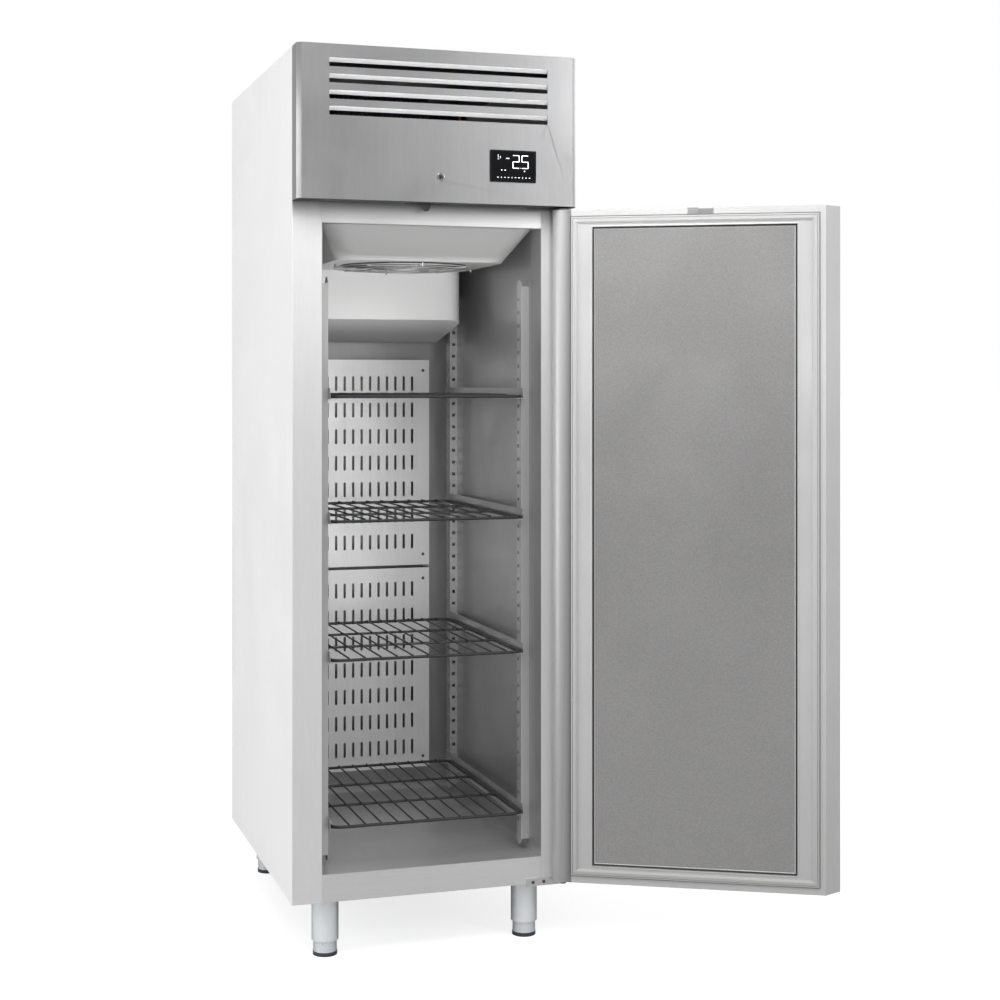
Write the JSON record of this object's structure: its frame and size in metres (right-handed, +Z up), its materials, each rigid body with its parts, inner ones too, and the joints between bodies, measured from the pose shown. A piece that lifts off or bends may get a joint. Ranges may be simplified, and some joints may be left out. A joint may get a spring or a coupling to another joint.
{
  "type": "bakery_refrigerator",
  "caption": "tall single-door stainless bakery refrigerator, door open, wire shelves, louvred header with controller, on legs",
  "frame": {"origin": "on the floor below the middle of the cabinet's body", "axes": "+X right, +Y back, +Z up"},
  "size_m": [1.1872, 1.1371, 2.03],
  "materials": {
    "side_skin": "fine vertical grain",
    "frame_steel": "satin",
    "header_steel": "fine vertical grain",
    "liner_steel": "satin",
    "galvanised": "zinc, matt",
    "foam": "rigid foam, open cut",
    "white_plastic": "satin",
    "duct_steel": "satin",
    "door_steel": "fine grain",
    "inlay": "stucco grain",
    "gasket": "soft, matt",
    "black_plastic": "matt",
    "black_glass": "gloss",
    "chrome": "polished",
    "zinc_steel": "satin",
    "shelf_wire": "plastic coated",
    "copper": "drawn tube",
    "coil_fins": "bare",
    "black_paint": "gloss",
    "grey_plastic": "matt",
    "dark_rubber": "matt",
    "leg_steel": "polished tube"
  },
  "bodies": {
    "cabinet": {"left_side_panel": "side_skin", "right_side_panel": "side_skin", "back_panel": "galvanised", "bottom_panel": "galvanised", "compartment_deck": "galvanised", "top_cover": "galvanised", "front_top_rail": "frame_steel", "front_bottom_rail": "frame_steel", "insulation_foam": "foam", "inner_liner": "liner_steel", "evaporator_housing": "white_plastic", "rear_air_box": "white_plastic", "evaporator_coil": "coil_fins", "evaporator_fan_motor": "black_paint", "fan_guard": "grey_plastic", "upper_duct_panel": "duct_steel", "lower_duct_panel": "duct_steel", "drain_pipe": "grey_plastic", "evaporation_tray": "grey_plastic", "front_rack_posts": "frame_steel", "rear_rack_posts": "frame_steel", "left_guide_rails": "frame_steel", "right_guide_rails": "frame_steel", "upper_hinge_bracket": "zinc_steel", "lower_hinge_bracket": "zinc_steel", "case_screws": "chrome", "flap_hinge_fixed": "zinc_steel", "leg_sleeves": "leg_steel", "compressor": "black_paint", "compressor_grommets": "dark_rubber", "condenser_coil": "coil_fins", "condenser_shroud": "galvanised", "condenser_fan_motor": "black_paint", "refrigerant_lines": "copper", "electrical_box": "grey_plastic", "cable_gland": "black_plastic"},
    "door": {"door_outer_shell": "door_steel", "door_foam": "foam", "door_inner_frame": "door_steel", "door_inner_panel": "inlay", "door_gasket": "gasket", "door_striker": "zinc_steel", "hinge_bushes": "grey_plastic"},
    "header_flap": {"header_panel": "header_steel", "louvre_fins": "white_plastic", "controller_bezel": "black_plastic", "display_window": "black_glass", "flap_hinge_moving": "zinc_steel", "lock_barrel": "chrome"},
    "lock": {"lock_cam": "zinc_steel"},
    "evaporator_fan_rotor": {"evaporator_fan": "black_plastic"},
    "condenser_fan_rotor": {"condenser_fan": "black_plastic"},
    "shelf_1": {"wire_shelf_1": "shelf_wire"},
    "shelf_2": {"wire_shelf_2": "shelf_wire"},
    "shelf_3": {"wire_shelf_3": "shelf_wire"},
    "shelf_4": {"wire_shelf_4": "shelf_wire"},
    "front_left_foot": {"foot_front_left": "leg_steel"},
    "front_right_foot": {"foot_front_right": "leg_steel"},
    "rear_left_foot": {"foot_rear_left": "leg_steel"},
    "rear_right_foot": {"foot_rear_right": "leg_steel"}
  },
  "joints": [
    {"name": "door_hinge", "type": "hinge", "parent": "cabinet", "child": "door", "pos_m": [0.3, -0.4335, 0.9145], "axis": [0, 0, 1], "range_deg": [-152, 8]},
    {"name": "header_flap_hinge", "type": "hinge", "parent": "cabinet", "child": "header_flap", "pos_m": [0, -0.4035, 2.027], "axis": [-1, 0, 0], "range_deg": [0, 65]},
    {"name": "lock_turn", "type": "hinge", "parent": "header_flap", "child": "lock", "pos_m": [0, -0.4245, 1.746], "axis": [0, 1, 0], "range_deg": [-20, 70]},
    {"name": "evaporator_fan_spin", "type": "hinge", "parent": "cabinet", "child": "evaporator_fan_rotor", "pos_m": [0, -0.1405, 1.588], "axis": [0, 0, 1], "continuous": true},
    {"name": "condenser_fan_spin", "type": "hinge", "parent": "cabinet", "child": "condenser_fan_rotor", "pos_m": [-0.14, -0.2555, 1.834], "axis": [0, 1, 0], "continuous": true},
    {"name": "shelf_1_slide", "type": "slide", "parent": "cabinet", "child": "shelf_1", "axis": [0, -1, 0], "range_m": [0, 0.28]},
    {"name": "shelf_2_slide", "type": "slide", "parent": "cabinet", "child": "shelf_2", "axis": [0, -1, 0], "range_m": [0, 0.28]},
    {"name": "shelf_3_slide", "type": "slide", "parent": "cabinet", "child": "shelf_3", "axis": [0, -1, 0], "range_m": [0, 0.28]},
    {"name": "shelf_4_slide", "type": "slide", "parent": "cabinet", "child": "shelf_4", "axis": [0, -1, 0], "range_m": [0, 0.28]},
    {"name": "front_left_foot_thread", "type": "slide", "parent": "cabinet", "child": "front_left_foot", "axis": [0, 0, 1], "range_m": [-0.025, 0.02]},
    {"name": "front_right_foot_thread", "type": "slide", "parent": "cabinet", "child": "front_right_foot", "axis": [0, 0, 1], "range_m": [-0.025, 0.02]},
    {"name": "rear_left_foot_thread", "type": "slide", "parent": "cabinet", "child": "rear_left_foot", "axis": [0, 0, 1], "range_m": [-0.025, 0.02]},
    {"name": "rear_right_foot_thread", "type": "slide", "parent": "cabinet", "child": "rear_right_foot", "axis": [0, 0, 1], "range_m": [-0.025, 0.02]}
  ]
}
